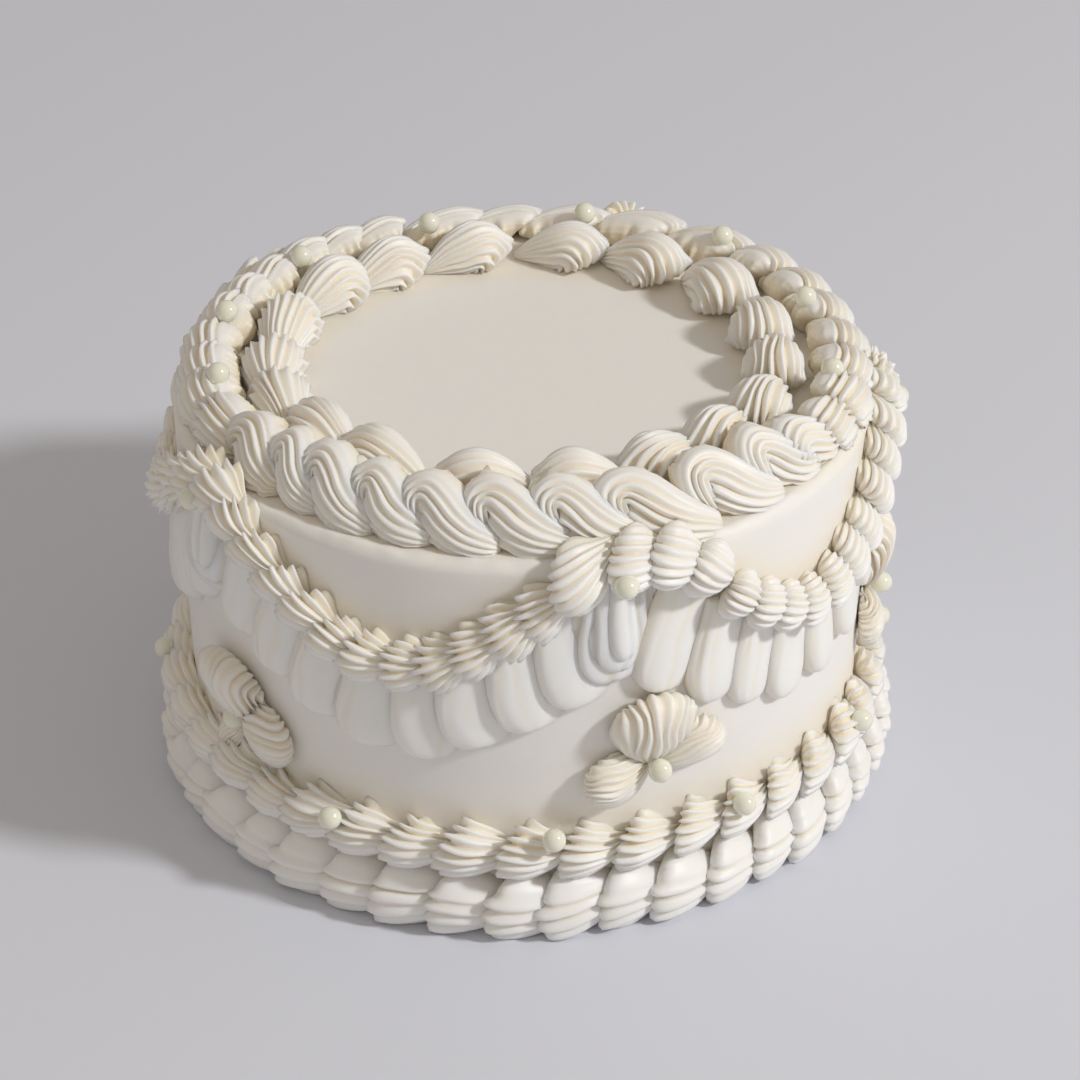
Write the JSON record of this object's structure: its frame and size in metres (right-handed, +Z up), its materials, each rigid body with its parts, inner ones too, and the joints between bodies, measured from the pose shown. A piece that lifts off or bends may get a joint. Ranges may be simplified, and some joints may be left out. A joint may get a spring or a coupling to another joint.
{
  "type": "vintage piped princess cake",
  "caption": "Tall round white buttercream cake with double shell rings on top, rope swags over a smooth frill, ridged flowers, sugar pearls and a two-row piped foot.",
  "frame": {"origin": "middle of the cake's flat underside, on the surface it stands on", "axes": "+Z up through the cake's middle, -Y towards the front that the picture shows, +X to its right"},
  "size_m": [0.167, 0.1675, 0.1032],
  "materials": {
    "wall_icing": "smoothed white buttercream, soft satin, food",
    "piped_icing": "piped white buttercream, satin, warm in the grooves, food",
    "sugar_pearl": "glossy pale ivory sugar pearl, food"
  },
  "bodies": {
    "root": {"cake_body": "wall_icing", "top_border_outer": "piped_icing", "top_border_inner": "piped_icing", "swag_rope": "piped_icing", "swag_ruffle": "piped_icing", "flower_1": "piped_icing", "flower_2": "piped_icing", "flower_3": "piped_icing", "flower_4": "piped_icing", "flower_5": "piped_icing", "base_border_upper": "piped_icing", "base_border_lower": "piped_icing"}
  },
  "joints": []
}
